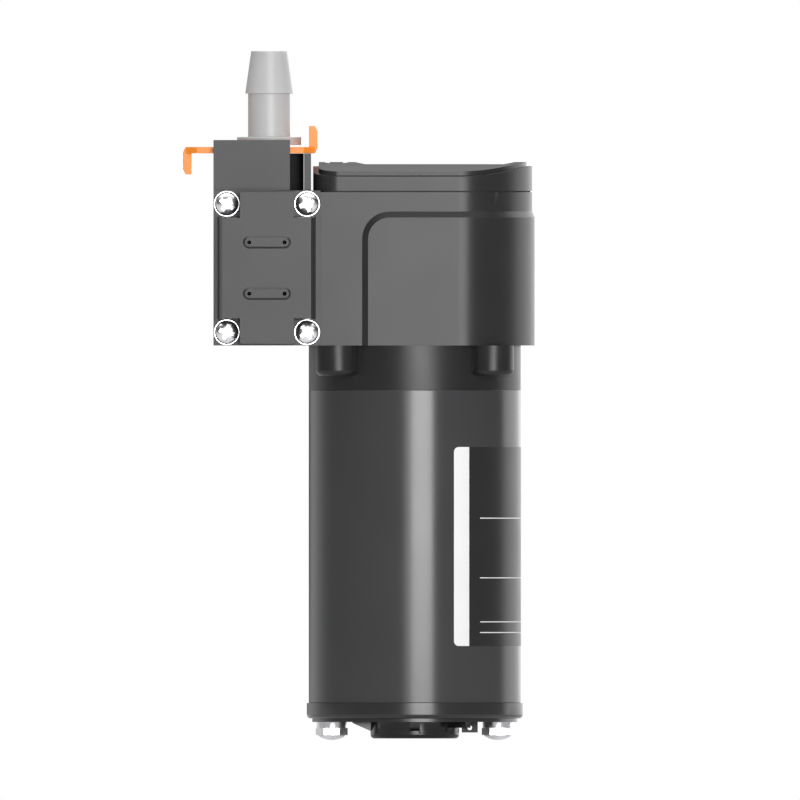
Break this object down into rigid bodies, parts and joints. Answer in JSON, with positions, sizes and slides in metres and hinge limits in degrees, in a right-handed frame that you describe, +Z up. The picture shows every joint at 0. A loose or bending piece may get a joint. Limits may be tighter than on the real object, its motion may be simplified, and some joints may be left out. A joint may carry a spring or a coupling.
{
  "type": "diaphragm pump",
  "caption": "Motor-driven diaphragm pump: upright motor can, crankcase on top, side head with barbed hose ports held by slide clips, and a pressure switch.",
  "frame": {"origin": "centre of the flat underside of the rear bearing boss, on the motor axis", "axes": "+Z up the motor axis towards the crankcase and ports, -X towards the pump head, -Y towards the pressure switch"},
  "size_m": [0.1055, 0.0749, 0.2066],
  "materials": {
    "black_paint": "semi-gloss black enamel on a drawn steel tube",
    "cast_black": "satin black on a die casting",
    "cap_black": "black moulded plastic, fine texture",
    "case_grey": "dark grey moulded glass-filled plastic, satin",
    "head_grey": "dark grey moulded plastic, satin",
    "plate_grey": "grey moulded plastic",
    "orange_plastic": "bright orange moulded plastic",
    "barb_clear": "milky translucent moulded plastic",
    "rubber_black": "black rubber",
    "rubber_red": "red-brown silicone rubber",
    "screw_steel": "bright zinc plated steel",
    "ground_steel": "ground steel",
    "lamination": "stacked steel laminations",
    "copper": "enamelled copper",
    "contact_brass": "brass",
    "tin_plate": "dull tin plated brass blade",
    "rod_alloy": "die-cast aluminium",
    "magnet": "ferrite",
    "carbon": "carbon",
    "white_plastic": "natural nylon",
    "red_plastic": "red plastic"
  },
  "bodies": {
    "pump_body": {"motor_can": "black_paint", "rear_end_cap": "cap_black", "front_bell": "cast_black", "field_magnets": "magnet", "brush_holder": "cap_black", "brushes": "carbon", "brush_springs": "ground_steel", "through_bolts": "screw_steel", "motor_terminals": "tin_plate", "rear_bearing_outer": "ground_steel", "front_bearing_outer": "ground_steel", "top_bearing_outer": "ground_steel", "crankcase": "case_grey", "crankcase_cover": "case_grey", "cover_gasket": "rubber_black", "case_screws": "screw_steel", "cover_screws": "screw_steel", "diaphragm": "rubber_black", "clamp_plate": "head_grey", "valve_plate": "plate_grey", "inlet_valves": "rubber_red", "outlet_valves": "rubber_red", "manifold": "head_grey", "head_screws": "screw_steel", "switch_housing": "head_grey", "switch_screws": "screw_steel", "switch_diaphragm": "rubber_black", "switch_spring": "ground_steel", "switch_carrier": "white_plastic", "microswitch": "cap_black", "switch_terminals": "contact_brass"},
    "rotor": {"motor_shaft": "ground_steel", "armature_core": "lamination", "armature_windings": "copper", "commutator": "copper", "rear_bearing_inner": "ground_steel", "front_bearing_inner": "ground_steel", "top_bearing_inner": "ground_steel", "eccentric_lower": "ground_steel", "eccentric_upper": "ground_steel", "rod_bearing_inner_lower": "ground_steel", "rod_bearing_inner_upper": "ground_steel"},
    "lower_rod": {"rod_lower": "rod_alloy", "rod_bearing_outer_lower": "ground_steel", "piston_lower": "rod_alloy", "piston_screw_lower": "screw_steel"},
    "upper_rod": {"rod_upper": "rod_alloy", "rod_bearing_outer_upper": "ground_steel", "piston_upper": "rod_alloy", "piston_screw_upper": "screw_steel"},
    "outlet_fitting": {"outlet_barb": "barb_clear", "outlet_o_ring": "rubber_black"},
    "inlet_fitting": {"inlet_barb": "barb_clear", "inlet_o_ring": "rubber_black"},
    "outlet_slide": {"outlet_clip": "orange_plastic"},
    "inlet_slide": {"inlet_clip": "orange_plastic"},
    "plunger": {"switch_plunger": "white_plastic"},
    "button": {"microswitch_button": "red_plastic"}
  },
  "joints": [
    {"name": "rotor_spin", "type": "hinge", "parent": "pump_body", "child": "rotor", "pos_m": [0, 0, 0.06], "axis": [0, 0, 1], "continuous": true, "deforming": ["diaphragm"]},
    {"name": "lower_rod_orbit", "type": "hinge", "parent": "rotor", "child": "lower_rod", "pos_m": [-0.0015, 0, 0.1304], "axis": [0, 0, 1], "continuous": true},
    {"name": "upper_rod_orbit", "type": "hinge", "parent": "rotor", "child": "upper_rod", "pos_m": [0.0015, 0, 0.1519], "axis": [0, 0, 1], "continuous": true},
    {"name": "outlet_barb_swivel", "type": "hinge", "parent": "pump_body", "child": "outlet_fitting", "pos_m": [-0.0437, -0.015, 0.17], "axis": [0, 0, 1], "continuous": true},
    {"name": "inlet_barb_swivel", "type": "hinge", "parent": "pump_body", "child": "inlet_fitting", "pos_m": [-0.0437, 0.015, 0.17], "axis": [0, 0, 1], "continuous": true},
    {"name": "outlet_clip_slide", "type": "slide", "parent": "pump_body", "child": "outlet_slide", "axis": [1, 0, 0], "range_m": [0, 0.0064]},
    {"name": "inlet_clip_slide", "type": "slide", "parent": "pump_body", "child": "inlet_slide", "axis": [1, 0, 0], "range_m": [0, 0.0064]},
    {"name": "switch_plunger_slide", "type": "slide", "parent": "pump_body", "child": "plunger", "axis": [0, -1, 0], "range_m": [0, 0.0004], "stiffness_N_per_m": 50, "deforming": ["switch_spring"]},
    {"name": "switch_button_slide", "type": "slide", "parent": "pump_body", "child": "button", "axis": [0, -1, 0], "range_m": [0, 0.0004]}
  ],
  "couplings": [
    {"joint": "lower_rod_orbit", "follows": "rotor_spin", "ratio": -1},
    {"joint": "upper_rod_orbit", "follows": "rotor_spin", "ratio": -1},
    {"joint": "switch_button_slide", "follows": "switch_plunger_slide", "ratio": 1}
  ]
}
